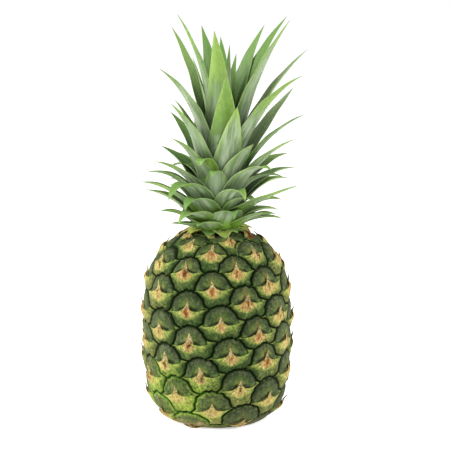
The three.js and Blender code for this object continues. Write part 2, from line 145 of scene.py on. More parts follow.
ODD_LEAVES = {
    -7: dict(turn=-17, length=32, root_rise=22, tip_rise=2, width=15),
    -5: dict(length=24, root_rise=46, tip_rise=20),
    -4: dict(turn=24, length=12, root_rise=12, tip_rise=-22, width=9, height=1.4),
    -2: dict(turn=-6, length=38, root_rise=42, tip_rise=-4, width=17),
    -1: dict(turn=3, length=40, root_rise=32, tip_rise=-14, width=17),
    1: dict(
        turn=-13, length=20, root_rise=37, tip_rise=-80, width=27, height=0.8,
        bend=5, point=3.4, hood=0.6, bloom_end=0.95,
    ),
    2: dict(turn=-12, length=38, root_rise=42, tip_rise=-20),
    3: dict(turn=3, length=52, root_rise=50, tip_rise=3),
    4: dict(turn=26, length=39, root_rise=46, tip_rise=-4, width=21, height=0.4, bend=1.3, bloom_end=0.85),
    6: dict(
        turn=4, length=37, root_rise=42, tip_rise=-86, width=25,
        bend=2.5, point=2.4, hood=0.5, bloom_end=0.95,
    ),
    7: dict(turn=-2, length=42, root_rise=58, tip_rise=-16),
    9: dict(
        turn=12, length=31, root_rise=62, tip_rise=-120, width=26, height=0.4,
        bend=4, point=3, hood=0.7, bloom_end=0.95,
    ),
    11: dict(turn=-4, length=59, root_rise=54, tip_rise=4, bloom_end=0.55),
    12: dict(
        turn=-12, length=36, root_rise=67, tip_rise=-90, width=25,
        bend=3, point=2.6, hood=0.5, bloom_end=0.95,
    ),
    14: dict(
        turn=-8, length=41, root_rise=59, tip_rise=-96, width=26,
        bend=2.8, point=2.6, hood=0.4, bloom_end=0.95,
    ),
    15: dict(turn=-5, length=56),
    16: dict(turn=-10, length=46),
    17: dict(
        turn=2, length=44, root_rise=70, tip_rise=-100, width=25,
        bend=3, point=2.6, hood=0.5, bloom_end=0.8,
    ),
    19: dict(turn=14, length=65, root_rise=67, tip_rise=-64, bend=1.8, bloom_end=0.6),
    20: dict(turn=-24, length=64, root_rise=32, tip_rise=19, width=21, bloom_end=0.6),
    22: dict(
        turn=-4, length=47, root_rise=76, tip_rise=-120, width=20,
        bend=7, point=4, hood=0.3, bloom_end=0.92,
    ),
    23: dict(turn=-11, length=64, root_rise=54, tip_rise=-4),
    24: dict(turn=5, length=58, root_rise=66, tip_rise=-6, bloom_end=0.7),
    25: dict(turn=-4, length=66, root_rise=79, tip_rise=-14, width=24, bloom_end=0.9),
    27: dict(
        turn=10, length=55, root_rise=79, tip_rise=-160, width=20,
        bend=7, point=4, hood=0.1, bloom_end=0.42,
    ),
    28: dict(turn=-31, length=52, root_rise=78, tip_rise=-22),
    29: dict(turn=2, length=64, root_rise=68, tip_rise=14),
    30: dict(turn=20, length=64, root_rise=84, tip_rise=26, width=25, bloom_end=0.95),
    32: dict(turn=9, length=61, root_rise=60, tip_rise=11, bloom_end=0.75),
    33: dict(turn=-1, length=74, root_rise=66, tip_rise=22, width=23, bloom_end=0.75),
    35: dict(turn=-30, length=67, root_rise=78, tip_rise=24, bloom_end=0.85),
    36: dict(turn=4, length=68, root_rise=50, tip_rise=0),
    37: dict(turn=-23, length=52, root_rise=82, tip_rise=-40),
    38: dict(turn=-22, length=84, root_rise=78, tip_rise=48, width=24, bloom_end=0.86),
    40: dict(turn=4, length=86, root_rise=78, tip_rise=40, width=24, bloom_end=0.85),
    41: dict(turn=-4, length=84, root_rise=70, tip_rise=24, width=24, bloom_end=0.3),
    42: dict(turn=0, length=78, root_rise=60, tip_rise=34),
    43: dict(turn=6, length=103, root_rise=83, tip_rise=46, width=25, bloom_end=0.45, tone=0.4),
    44: dict(turn=-11, length=96, root_rise=62, tip_rise=38, tone=1.4),
    45: dict(turn=-30, length=76, root_rise=76, tip_rise=50),
    46: dict(turn=2, length=113, root_rise=79, tip_rise=25, width=24, bloom_end=0.6),
    48: dict(turn=-30, length=110, root_rise=83, tip_rise=31, width=22, bloom_end=0.85),
    49: dict(turn=1, length=118, root_rise=76, tip_rise=40, tone=1.5),
    50: dict(turn=-4, length=126, root_rise=82, tip_rise=52, width=23),
    51: dict(turn=40, length=133, root_rise=82, tip_rise=56, width=25, bloom_end=0.85, tone=0.5),
    52: dict(turn=23, length=120, root_rise=80, tip_rise=40),
    53: dict(turn=-3, length=134, root_rise=89, tip_rise=54, bloom_end=0.7, tone=0.35),
    54: dict(turn=49, length=133, root_rise=88, tip_rise=42, width=22, bloom_end=0.5),
    55: dict(turn=-4, length=122, root_rise=82, tip_rise=50, width=22),
    56: dict(turn=-3, length=118, root_rise=84, tip_rise=62, width=26, bloom_end=0.62, tone=0.8),
    57: dict(turn=18, length=119, root_rise=86, tip_rise=52, width=22, bloom_end=0.6, tone=0.4),
    58: dict(length=92, root_rise=84, tip_rise=66),
    59: dict(length=98, root_rise=92, tip_rise=92, width=14),
    60: dict(turn=-20, length=90, root_rise=89, tip_rise=74, width=16),
    61: dict(turn=4, length=74),
    62: dict(length=60),
}

# A leaf's blade: its half width and its section along its length, from root to point.
BLADE_STEPS = 60
BASE_SHARE = 0.15
BASE_WIDTH = 0.8
POINT_POWER = 1.7
HOOD_START = 0.45
HOOD_END = 0.85
CHANNEL = [(0, 0.42), (0.3, 0.3), (1, 0.25)]
BLADE_THICKNESS = (3, 1)
BLADE_ROWS = 36
BLADE_SIDES = 24
ROW_GATHER = 1.15
RIPPLE = {"height": 0.35, "length": 4.5, "fade": 4}
BLOOM_END = {"mean": 0.82, "scatter": 0.22}

# Short bracts at the crown's foot: each measure's mean and how far its draw scatters it.
FOOT_BRACTS = 13
FOOT_BRACT_SCATTER = {"length": (13, 6), "root_rise": (14, 6), "tip_rise": (-36, 22), "width": (14, 3)}
FOOT_BRACT_TURN = 15
FOOT_BRACT_HEIGHT = 0.6

# What a mark of 1 stands for in the finishes, and how near vertices are merged, cut and taken as level.
MARK_UNIT = 10
LENGTH_MARK_UNIT = 100
MERGE_DISTANCE = 0.004
CUT_DISTANCE = 0.0001
LEVEL_DISTANCE = 0.05

# Camera: where it aims, how far off it stands, how high it looks from, and a pixel's width at that distance.
AIM = Vector((5.9, 0, 145.8)) * MM
DISTANCE = 1.5
ELEVATION = math.radians(10)
PIXEL = 0.74 * MM
PICTURE = 450
SENSOR = 36

# Light, in metres and watts: soft boxes round the fruit, a white room and a floor that glows a little.
BOXES = {
    "left": {"place": (-1.5, -0.45, 1.0), "size": 1.1, "power": 48},
    "right": {"place": (1.5, -0.45, 0.9), "size": 1.1, "power": 34},
    "front": {"place": (-0.3, -1.3, 1.6), "size": 0.8, "power": 6},
}
LIT_SPOT = (0, 0, 0.15)
ROOM_LIGHT = 0.56
FLOOR_GLOW = 0.46
FLOOR_RADIUS = 6


# ---- small tools ----

def scatter(index, kind):
    """A fixed draw between -1 and 1 for item number index of one kind."""
    wave = math.sin(index * 12.9898 + kind * 78.233) * 43758.5453
    return 2 * (wave - math.floor(wave)) - 1


def share_drawn(index, kind):
    """A fixed draw between 0 and 1."""
    return scatter(index, kind) / 2 + 0.5


def blend_along(values, share):
    """The value at a share, 0 to 1, of values set in even steps."""
    return float(np.interp(share, np.linspace(0, 1, len(values)), values))


def value_at(points, x):
    return np.interp(x, [p[0] for p in points], [p[1] for p in points])


def bump_curve(x, middle, width):
    """A soft hill of height 1 at middle, about width wide on each side."""
    return np.exp(-(((x - middle) / width) ** 2))


def select_only(obj):
    bpy.ops.object.select_all(action="DESELECT")
    obj.select_set(True)
    bpy.context.view_layer.objects.active = obj


def grid_template(name, columns, rows):
    """A flat grid to be copied and shaped, and each of its vertices' place in it from 0 to 1 each way."""
    bpy.ops.object.select_all(action="DESELECT")
    bpy.ops.mesh.primitive_grid_add(x_subdivisions=columns, y_subdivisions=rows, size=1)
    grid = bpy.context.object
    grid.name = name
    places = np.zeros(len(grid.data.vertices) * 3)
    grid.data.vertices.foreach_get("co", places)
    places = places.reshape(-1, 3)[:, :2] + 0.5
    return grid, places[:, 0], places[:, 1]


def shaped_copy(template, name, points, marks):
    """A copy of a template with its vertices at points, in millimetres, and colour marks on its corners."""
    mesh = template.data.copy()
    mesh.name = name
    mesh.vertices.foreach_set("co", (points * MM).astype(np.float32).ravel())
    corners = np.zeros(len(mesh.loops), int)
    mesh.loops.foreach_get("vertex_index", corners)
    for mark, values in marks.items():
        layer = mesh.attributes.new(mark, "FLOAT_COLOR", "CORNER")
        layer.data.foreach_set("color", values[corners].astype(np.float32).ravel())
    obj = bpy.data.objects.new(name, mesh)
    bpy.context.scene.collection.objects.link(obj)
    return obj


def join(pieces, name):
    """The pieces as one object with the vertices where they meet merged."""
    bpy.ops.object.select_all(action="DESELECT")
    for obj in pieces:
        obj.select_set(True)
    bpy.context.view_layer.objects.active = pieces[0]
    bpy.ops.object.join()
    joined = bpy.context.object
    joined.name = name
    joined.data.name = name
    bpy.ops.object.mode_set(mode="EDIT")
    bpy.ops.mesh.select_all(action="SELECT")
    bpy.ops.mesh.remove_doubles(threshold=MERGE_DISTANCE * MM)
    bpy.ops.object.mode_set(mode="OBJECT")
    return joined


def finish_piece(obj, node, material):
    """Smooths a piece, gives it its material, hangs it under the root and hides the part it replaces."""
    select_only(obj)
    bpy.ops.object.shade_smooth()
    obj.data.materials.clear()
    obj.data.materials.append(material)
    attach(obj, "root")
    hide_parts(node)


# ---- fruit surface ----

def body_radius(height):
    below = height < BELLY_HEIGHT
    reach = np.where(below, LOWER_REACH, UPPER_REACH)
    power = np.where(below, LOWER_POWER, UPPER_POWER)
    share = np.abs(height - BELLY_HEIGHT) / reach
    return BODY_RADIUS * (1 - share**power) ** (1 / power)


def body_outline(steps=2000):
    """Run along the outline, height and radius, from the base to the top."""
    heights = BODY_TOP * (1 - np.cos(np.pi * np.arange(steps + 1) / steps)) / 2
    radii = body_radius(heights)
    runs = np.concatenate([[0], np.cumsum(np.hypot(np.diff(heights), np.diff(radii)))])
    return runs, heights, radii


RUNS, HEIGHTS, RADII = body_outline()
OUTLINE_RUN = RUNS[-1]


def radius_at(run):
    return np.interp(run, RUNS, RADII)


def skin_points(turn, run, lift):
    """Points of the body at turns about the axis and runs along the outline, lifted off the skin."""
    reach = 0.5
    inside = np.clip(run, 0, OUTLINE_RUN)
    low = np.clip(run - reach, 0, OUTLINE_RUN - reach)
    rise = np.interp(low + reach, RUNS, HEIGHTS) - np.interp(low, RUNS, HEIGHTS)
    spread = radius_at(low + reach) - radius_at(low)
    length = np.hypot(rise, spread)
    radius = radius_at(inside) + lift * rise / length
    height = np.interp(inside, RUNS, HEIGHTS) + (run - inside) - lift * spread / length
    angle = np.radians(turn)
    return np.stack([radius * np.sin(angle), -radius * np.cos(angle), height], axis=-1)


def eye_spot(index):
    """An eye's turn about the axis and its run up the outline."""
    share = index / EYE_SCALE
    turn = EYE_TURN[0] + EYE_TURN[1] * index + EYE_TURN[2] * share**2 + EYE_TURN[3] * share**3
    run = EYE_RUN[0] + EYE_RUN[1] * index + EYE_RUN[2] * share**2 + EYE_RUN[3] * share**3
    drawn = (EYE_SCATTER * scatter(index, 1), EYE_SCATTER * scatter(index, 2))
    aside, up = ODD_EYES.get(index, drawn)
    return np.array([turn + aside / math.radians(BODY_RADIUS), run + up])


def near_turn(turn, other):
    """The same turn, within half a turn of another one."""
    return turn - 360 * np.round((turn - other) / 360)


def cell_corner(index, side):
    """The corner where eye index meets the eye side steps on and the one straight above."""
    spots = np.array([eye_spot(index), eye_spot(index + side), eye_spot(index + UPRIGHT)])
    spots[:, 0] = near_turn(spots[:, 0], spots[0, 0])
    return spots[0] + (spots.mean(axis=0) - spots[0]) * CORNER_REACH + (0, CELL_LIFT)


def upper_corners(index):
    """An eye's upper right and upper left corners."""
    return cell_corner(index, STEEP), cell_corner(index, GENTLE)


def cell_edge(eye, start, end, number):
    """Points along the edge above an eye from start to end, drawn in to a round dome between the corners."""
    middle = eye_spot(eye)
    scale = np.array([math.radians(radius_at(np.clip(middle[1], 0, OUTLINE_RUN))), 1])

    def flat(corner):
        return (np.array([near_turn(corner[0], middle[0]), corner[1]]) - middle) * scale

    dome = DOME_FULLNESS * np.mean([np.linalg.norm(flat(corner)) for corner in upper_corners(eye)])
    ends = np.array([flat(start), flat(end)])
    angles = np.unwrap(np.arctan2(ends[:, 1], ends[:, 0]))
    lengths = np.linalg.norm(ends, axis=1)
    share = (1 - np.cos(np.pi * np.arange(EDGE_PARTS) / EDGE_PARTS)) / 2
    angle = angles[0] + (angles[1] - angles[0]) * share
    length = dome + (lengths[0] - dome) * (1 - share) ** WING_SHARPNESS
    length += (lengths[1] - dome) * share**WING_SHARPNESS
    draws = [scatter(eye * 3 + number, 20 + part) for part in range(EDGE_PARTS)]
    length += RIM_WAVE * np.array(draws) * (share > 0)
    return middle + np.column_stack([length * np.cos(angle), length * np.sin(angle)]) / scale


def cell_rim(index):
    """The turns and runs of points round an eye's cell, from its right corner anticlockwise.

    Each edge belongs to the eye below it, so an eye's three lower edges are its neighbours' upper ones."""
    right = cell_corner(index - GENTLE, GENTLE)
    upper_right = cell_corner(index, STEEP)
    upper_left = cell_corner(index, GENTLE)
    left = cell_corner(index - STEEP, STEEP)
    lower_left = cell_corner(index - UPRIGHT, GENTLE)
    lower_right = cell_corner(index - UPRIGHT, STEEP)

    def backwards(eye, start, end, number):
        forward = cell_edge(eye, end, start, number)
        last = np.array([[near_turn(start[0], forward[0, 0]), start[1]]])
        return np.concatenate([last, forward[:0:-1]])

    rim = np.concatenate([
        cell_edge(index, right, upper_right, 0),
        cell_edge(index, upper_right, upper_left, 1),
        cell_edge(index, upper_left, left, 2),
        backwards(index - STEEP, left, lower_left, 0),
        backwards(index - UPRIGHT, lower_left, lower_right, 1),
        backwards(index - GENTLE, lower_right, right, 2),
    ])
    rim[:, 0] = near_turn(rim[:, 0], eye_spot(index)[0])
    return rim


class Eye:
    """One eye's cell in its own flat millimetres: u to the right and v up the fruit, from its tip's root."""

    def __init__(self, index):
        self.index = index
        self.middle = eye_spot(index)
        self.radius = float(radius_at(np.clip(self.middle[1], 0, OUTLINE_RUN)))
        self.scale = np.array([math.radians(self.radius), 1])
        self.rim = (cell_rim(index) - self.middle) * self.scale
        angles = np.unwrap(np.arctan2(self.rim[:, 1], self.rim[:, 0]))
        self.rim_angles = np.concatenate([angles - 2 * np.pi, angles, angles + 2 * np.pi])
        self.rim_lengths = np.tile(np.linalg.norm(self.rim, axis=1), 3)
        self.size = min(1.0, self.radius / BODY_RADIUS + SIZE_MARGIN)

    def share(self, spots):
        """How far spots are from the middle to the rim, 0 to 1."""
        angles = np.arctan2(spots[:, 1], spots[:, 0])
        return np.linalg.norm(spots, axis=1) / np.interp(angles, self.rim_angles, self.rim_lengths)

    def skin_lift(self, spots, share):
        """How far the skin stands off the body at spots."""
        share = np.clip(share, 0, 1)
        u, v = spots[:, 0], spots[:, 1]
        lift = RIM_HEIGHT * np.sqrt(1 - share**RIM_POWER) + DOME_HEIGHT * (1 - share**2) - GROOVE_DEPTH
        inside = 1 - share**4
        keel = KEEL["height"] * bump_curve(v, KEEL["middle"], KEEL["tall"]) * bump_curve(u, 0, KEEL["wide"])
        dip = LIP_DIP["depth"] * bump_curve(v, self.lip_line(u) + LIP_DIP["above_lip"], LIP_DIP["tall"])
        lift += (keel - dip * bump_curve(u, 0, LIP_DIP["wide"])) * inside
        return lift * self.size

    def lip_line(self, u):
        """How high the bract's lip runs at u: up to each wing, sagging between, and up at the tip's root."""
        wing = np.where(u < 0, self.rim[3 * EDGE_PARTS, 0], self.rim[0, 0])
        wing_height = np.where(u < 0, self.rim[3 * EDGE_PARTS, 1], self.rim[0, 1])
        share = np.clip(u / wing, 0, 1)
        sag = LIP_SAG["depth"] * bump_curve(share, LIP_SAG["middle"], LIP_SAG["wide"])
        return wing_height * share**2 - sag + LIP_PEAK["height"] * bump_curve(u, 0, LIP_PEAK["wide"])

    def place(self, spots, lift):
        turn_run = spots / self.scale + self.middle
        return skin_points(turn_run[:, 0], turn_run[:, 1], lift)

    def marks(self, spots, share, bract, down, tip):
        """What the rind's finish reads: place in the eye and share, and which part of a bract it is."""
        draw = np.full(len(spots), share_drawn(self.index, 7))
        eye = np.column_stack([spots / MARK_UNIT, np.clip(share, 0, 1), draw])
        other = np.full(len(spots), share_drawn(self.index, 8))
        part = np.column_stack([np.full(len(spots), bract), down, tip, other])
        return {"eye": eye, "part": part}


def make_skin():
    """The body's skin: a disc of faces for each eye, joined at their grooves and cut level at both ends."""
    rings = len(RING_SHARES) - 1
    around = 6 * EDGE_PARTS
    template, across, along = grid_template("eye_template", around, rings)
    step = np.round(across * around).astype(int) % around
    share = np.array(RING_SHARES)[np.round(along * rings).astype(int)]
    cells = []
    for index in range(FIRST_EYE, LAST_EYE + 1):
        eye = Eye(index)
        spots = eye.rim[step] * share[:, None]
        lift = eye.skin_lift(spots, share)
        above_lip = np.clip((spots[:, 1] - eye.lip_line(spots[:, 0])) / MARK_UNIT, 0, 1)
        marks = eye.marks(spots, share, 0, above_lip, np.zeros(len(spots)))
        cells.append(shaped_copy(template, f"eye_{index}", eye.place(spots, lift), marks))
    bpy.data.objects.remove(template)
    skin = join(cells, "fruit_skin")
    trim_skin(skin)
    return skin


def trim_skin(skin):
    """Cuts the skin level at its base and top, and turns the open edges in to a socket and a cap."""
    select_only(skin)
    bpy.ops.object.mode_set(mode="EDIT")
    for height, below in ((0, True), (BODY_TOP, False)):
        bpy.ops.mesh.select_all(action="SELECT")
        bpy.ops.mesh.bisect(
            plane_co=(0, 0, height * MM), plane_no=(0, 0, 1), clear_inner=below, clear_outer=not below,
            threshold=CUT_DISTANCE * MM,
        )
    bpy.ops.mesh.select_all(action="DESELECT")
    bpy.ops.object.mode_set(mode="OBJECT")
    socket = [(STEM_RADIUS + SOCKET_RIM, 0), (SOCKET_RADIUS, SOCKET_STEP), (SOCKET_RADIUS, STEM_DEPTH)]
    turn_in(skin, 0, socket)
    turn_in(skin, BODY_TOP, [(CAP_RADIUS, 0)])


def turn_in(skin, height, turns):
    """Extrudes the open edge at a height through circles of (radius, rise above it), and closes the last."""
    mesh = skin.data
    select_only(skin)
    bpy.ops.object.mode_set(mode="EDIT")
    bpy.ops.mesh.select_mode(type="VERT")
    bpy.ops.mesh.select_all(action="DESELECT")
    bpy.ops.mesh.select_non_manifold(extend=False)
    bpy.ops.object.mode_set(mode="OBJECT")
    for vertex in mesh.vertices:
        if abs(vertex.co.z - height * MM) > LEVEL_DISTANCE * MM:
            vertex.select = False
    for edge in mesh.edges:
        edge.select = all(mesh.vertices[i].select for i in edge.vertices) and edge.select
    for face in mesh.polygons:
        face.select = False
    bpy.ops.object.mode_set(mode="EDIT")
    bpy.ops.mesh.select_mode(type="EDGE")
    for radius, rise in turns:
        bpy.ops.mesh.extrude_edges_move()
        bpy.ops.object.mode_set(mode="OBJECT")
        for vertex in mesh.vertices:
            if vertex.select:
                flat = Vector((vertex.co.x, vertex.co.y, 0)).normalized() * radius * MM
                vertex.co = flat + Vector((0, 0, (height + rise) * MM))
        bpy.ops.object.mode_set(mode="EDIT")
    bpy.ops.mesh.edge_face_add()
    bpy.ops.object.mode_set(mode="OBJECT")


# ---- bracts ----

def make_bracts():
    """The bracts: each a sheet folded along its lip, one half over the eye and the other sunk in it."""
    template, across, along = grid_template("bract_template", BRACT_COLUMNS, BRACT_ROWS)
    side = np.sign(across - 0.5)
    spread = np.abs(across - 0.5) * 2
    near_middle = spread ** BRACT_GATHER["columns"]
    outer = along < 0.5001
    down = np.where(outer, 1 - along * 2, along * 2 - 1)
    pieces = []
    for index in range(FIRST_EYE, LAST_EYE + 1):
        eye = Eye(index)
        if not BRACT_FROM_BASE < eye.middle[1] < OUTLINE_RUN - BRACT_FROM_TOP:
            continue
        pieces.append(one_bract(template, eye, side, spread, near_middle, outer, down))
    bpy.data.objects.remove(template)
    return join(pieces, "fruit_bracts")


def one_bract(template, eye, side, spread, near_middle, outer, down):
    """One eye's bract: a lip from wing to wing, the dry tip in its middle, and a skirt to the lower rim."""
    index = eye.index
    half = EDGE_PARTS * 3
    bottom_place = half + (side * spread + 1) / 2 * half
    steps = np.arange(len(eye.rim) + 1)
    closed = np.vstack([eye.rim, eye.rim[:1]])
    bottom = np.column_stack([np.interp(bottom_place, steps, closed[:, i]) for i in range(2)]) * BRACT_REACH
    wing = np.where(side < 0, eye.rim[half, 0], eye.rim[0, 0]) * BRACT_REACH
    lip = np.column_stack([wing * near_middle, eye.lip_line(wing * near_middle)])
    length = TIP_LENGTH * (1 + TIP_SCATTER["length"] * scatter(index, 4)) * eye.size
    point = np.clip(1 - np.abs(lip[:, 0]) / (TIP_HALF_WIDTH * eye.size), 0, 1) ** TIP_SHARPNESS
    lip[:, 0] += TIP_SCATTER["lean"] * scatter(index, 3) * point**1.5
    lip[:, 1] += length * point
    # A row's place between the lip and the lower rim, drawn closer together near the lip.
    drop = down ** BRACT_GATHER["rows"]
    spots = lip + (bottom - lip) * drop[:, None]
    share = eye.share(spots)
    skin = eye.skin_lift(spots, share)
    tip = np.clip(spots[:, 1] / length, 0, 1) * (np.abs(spots[:, 0]) < TIP_MARK_HALF_WIDTH)
    wings = 1 - WING_THINNING * near_middle
    rise = LIP_RISE * wings * (1 - drop) ** 1.3
    cover = BRACT_LIFT["lip"] * (1 - drop) + BRACT_LIFT["rim"] * drop**6
    top = skin + rise + cover + TIP_LIFT * (1 + TIP_SCATTER["lift"] * scatter(index, 5)) * tip**1.6
    top += BRACT_RIDGE["height"] * bump_curve(spots[:, 0], 0, BRACT_RIDGE["wide"]) * (1 - drop)
    thickness = LIP_THICKNESS * (1 - 0.5 * tip) * (0.25 + 0.75 * wings)
    thickness += BRACT_SUNK * np.clip(drop - 0.08, 0, 1)
    lift = np.where(outer, top, top - thickness)
    edge = (spread > 0.999) | (down > 0.999)
    lift = np.where(edge, skin - EDGE_SUNK, lift)
    points = eye.place(spots, lift)
    points[:, 2] = np.maximum(points[:, 2], FLOOR_GAP)
    marks = eye.marks(spots, share, 1, drop, tip)
    return shaped_copy(template, f"bract_{index}", points, marks)


# ---- crown ----

def leaf_measures(index):
    """A leaf's own measures: its age gives them, a fixed draw scatters them, and an odd leaf has its own."""
    age = (index - FIRST_LEAF) / (LAST_LEAF - FIRST_LEAF)
    leaf = {name: blend_along(values, age) for name, values in LEAF_AGES.items()}
    leaf["length"] *= 1 + LEAF_SCATTER["length"] * scatter(index, 1)
    leaf["root_rise"] += LEAF_SCATTER["root_rise"] * scatter(index, 2)
    leaf["tip_rise"] += LEAF_SCATTER["tip_rise"] * scatter(index, 3)
    leaf["width"] *= 1 + LEAF_SCATTER["width"] * scatter(index, 4)
    leaf["sway"] = LEAF_SCATTER["sway"] * scatter(index, 6)
    leaf["bend"] = LEAF_BEND
    leaf["point"] = POINT_POWER
    leaf["hood"] = 0
    leaf["bloom_end"] = BLOOM_END["mean"] + BLOOM_END["scatter"] * scatter(index, 12)
    leaf["tone"] = share_drawn(index, 10)
    odd = ODD_LEAVES.get(index, {})
    turn = LEAF_TURN[0] + LEAF_TURN[1] * index + LEAF_SCATTER["turn"] * scatter(index, 5)
    leaf.update(odd)
    leaf["turn"] = turn + odd.get("turn", 0)
    return leaf


def leaf_frames(leaf):
    """A leaf's middle line: at BLADE_STEPS + 1 shares its place, and where its side and inner face look."""
    def turn_at(share):
        return np.radians(leaf["turn"] + leaf["sway"] * share**2)

    def rise_at(share):
        return np.radians(leaf["root_rise"] + (leaf["tip_rise"] - leaf["root_rise"]) * share ** leaf["bend"])

    shares = np.arange(BLADE_STEPS + 1) / BLADE_STEPS
    halves = shares[:-1] + 0.5 / BLADE_STEPS
    turn, rise = turn_at(halves), rise_at(halves)
    ahead = np.column_stack([np.cos(rise) * np.sin(turn), -np.cos(rise) * np.cos(turn), np.sin(rise)])
    depth = ROOT_DEPTH[0] + ROOT_DEPTH[1] * math.cos(math.radians(leaf["root_rise"]))
    start_radius = float(value_at(CROWN_STEM, leaf["height"])) - depth
    start_turn = math.radians(leaf["turn"])
    outwards = np.array([math.sin(start_turn), -math.cos(start_turn), 0])
    start = start_radius * outwards + (0, 0, leaf["height"])
    places = start + np.vstack([np.zeros(3), np.cumsum(ahead * leaf["length"] / BLADE_STEPS, axis=0)])
    turn, rise = turn_at(shares), rise_at(shares)
    side = np.column_stack([np.cos(turn), np.sin(turn), np.zeros(len(turn))])
    inner = np.column_stack([-np.sin(turn) * np.sin(rise), np.cos(turn) * np.sin(rise), np.cos(rise)])
    return shares, places, side, inner


def blade_half_width(leaf, share):
    """Half a leaf's width: narrowed at its base, and drawn in where its tip curls over as a hood."""
    base = BASE_WIDTH + (1 - BASE_WIDTH) * np.sin(np.clip(share / BASE_SHARE, 0, 1) * np.pi / 2)
    past = np.clip((share - BASE_SHARE) / (1 - BASE_SHARE), 0, 1)
    hood = np.clip((share - HOOD_START) / (HOOD_END - HOOD_START), 0, 1)
    hood = leaf["hood"] * hood**2 * (3 - 2 * hood)
    return leaf["width"] / 2 * base * (1 - past ** leaf["point"]) * (1 - hood)


def make_leaves():
    """The crown's leaves: each a tube round its section, closed at the root and drawn to a point."""
    template, around, along = grid_template("leaf_template", BLADE_SIDES, BLADE_ROWS)
    half = BLADE_SIDES // 2
    step = np.round(around * BLADE_SIDES).astype(int) % BLADE_SIDES
    # From the right edge over the inner face to the left edge, and back over the outer face.
    across = np.where(step <= half, np.cos(np.pi * step / half), -np.cos(np.pi * (step - half) / half))
    on_inner = np.where(step <= half, 1.0, -1.0)
    share = 1 - (1 - along) ** ROW_GATHER
    leaves = []
    for index in range(FIRST_LEAF, LAST_LEAF + 1):
        leaves.append(one_leaf(template, index, leaf_measures(index), share, across, on_inner, step))
    for number in range(FOOT_BRACTS):
        index = LAST_LEAF + 1 + number
        leaves.append(one_leaf(template, index, foot_bract_measures(index), share, across, on_inner, step))
    bpy.data.objects.remove(template)
    crown = join(leaves, "crown_leaves")
    close_roots(crown)
    return crown


def foot_bract_measures(index):
    """A short bract at the crown's foot. A bloom_end below 0 marks it as withering."""
    bract = {
        "turn": 360 * index / FOOT_BRACTS + FOOT_BRACT_TURN * scatter(index, 1),
        "height": FOOT_BRACT_HEIGHT, "sway": 0, "bend": 1, "point": POINT_POWER, "hood": 0,
        "bloom_end": -0.5, "tone": share_drawn(index, 10),
    }
    for kind, (name, (mean, spread)) in enumerate(FOOT_BRACT_SCATTER.items(), start=2):
        bract[name] = mean + spread * scatter(index, kind)
    return bract


def one_leaf(template, index, leaf, share, across, on_inner, step):
    """One leaf: its section, hollow on its inner face and rippled at its edges, along its middle line."""
    shares, places, side, inner = leaf_frames(leaf)
    at = [np.interp(share, shares, values) for values in (*places.T, *side.T, *inner.T)]
    place = np.column_stack(at[0:3])
    side = np.column_stack(at[3:6])
    inner = np.column_stack(at[6:9])
    half = blade_half_width(leaf, share)
    channel = half * value_at(CHANNEL, share)
    thick = BLADE_THICKNESS[0] + (BLADE_THICKNESS[1] - BLADE_THICKNESS[0]) * share
    thick = thick * np.sqrt(np.clip(1 - share**6, 0, 1))
    wave = np.sin(share * leaf["length"] / RIPPLE["length"] + 6 * scatter(index, 9))
    ripple = RIPPLE["height"] * wave * np.abs(across) ** 3
    ripple *= np.clip(share * RIPPLE["fade"], 0, 1) * np.clip((1 - share) * RIPPLE["fade"], 0, 1)
    rounding = thick / 2 * np.sqrt(np.clip(1 - across**2, 0, 1))
    inward = channel * np.abs(across) ** 1.6 + ripple + on_inner * rounding
    points = place + side * (half * across)[:, None] + inner * inward[:, None]
    points[share > 0.9999] = places[-1]
    points[:, 0] += points[:, 2] * math.tan(math.radians(CROWN_LEAN))
    points[:, 2] += CROWN_FOOT
    count = len(share)
    lay = np.column_stack([share, across, step / BLADE_SIDES, np.full(count, leaf["tone"])])
    growth = np.column_stack([
        np.full(count, leaf["bloom_end"]), np.full(count, leaf["length"] / LENGTH_MARK_UNIT),
        half / MARK_UNIT, np.full(count, share_drawn(index, 11)),
    ])
    return shaped_copy(template, f"leaf_{index}", points, {"lay": lay, "growth": growth})


def close_roots(crown):
    """Closes the open ring at each leaf's root, inside the crown."""
    select_only(crown)
    bpy.ops.object.mode_set(mode="EDIT")
    bpy.ops.mesh.select_mode(type="VERT")
    bpy.ops.mesh.select_all(action="DESELECT")
    bpy.ops.mesh.select_non_manifold(extend=False)
    bpy.ops.mesh.edge_face_add()
    bpy.ops.mesh.select_all(action="SELECT")
    bpy.ops.mesh.normals_make_consistent(inside=False)
    bpy.ops.object.mode_set(mode="OBJECT")


# ---- finishes ----

def colour(red, green, blue):
    """An sRGB colour of 0 to 255 a channel as Blender's linear one."""
    def linear(value):
        value /= 255
        return value / 12.92 if value <= 0.04045 else ((value + 0.055) / 1.055) ** 2.4
    return (linear(red), linear(green), linear(blue), 1)


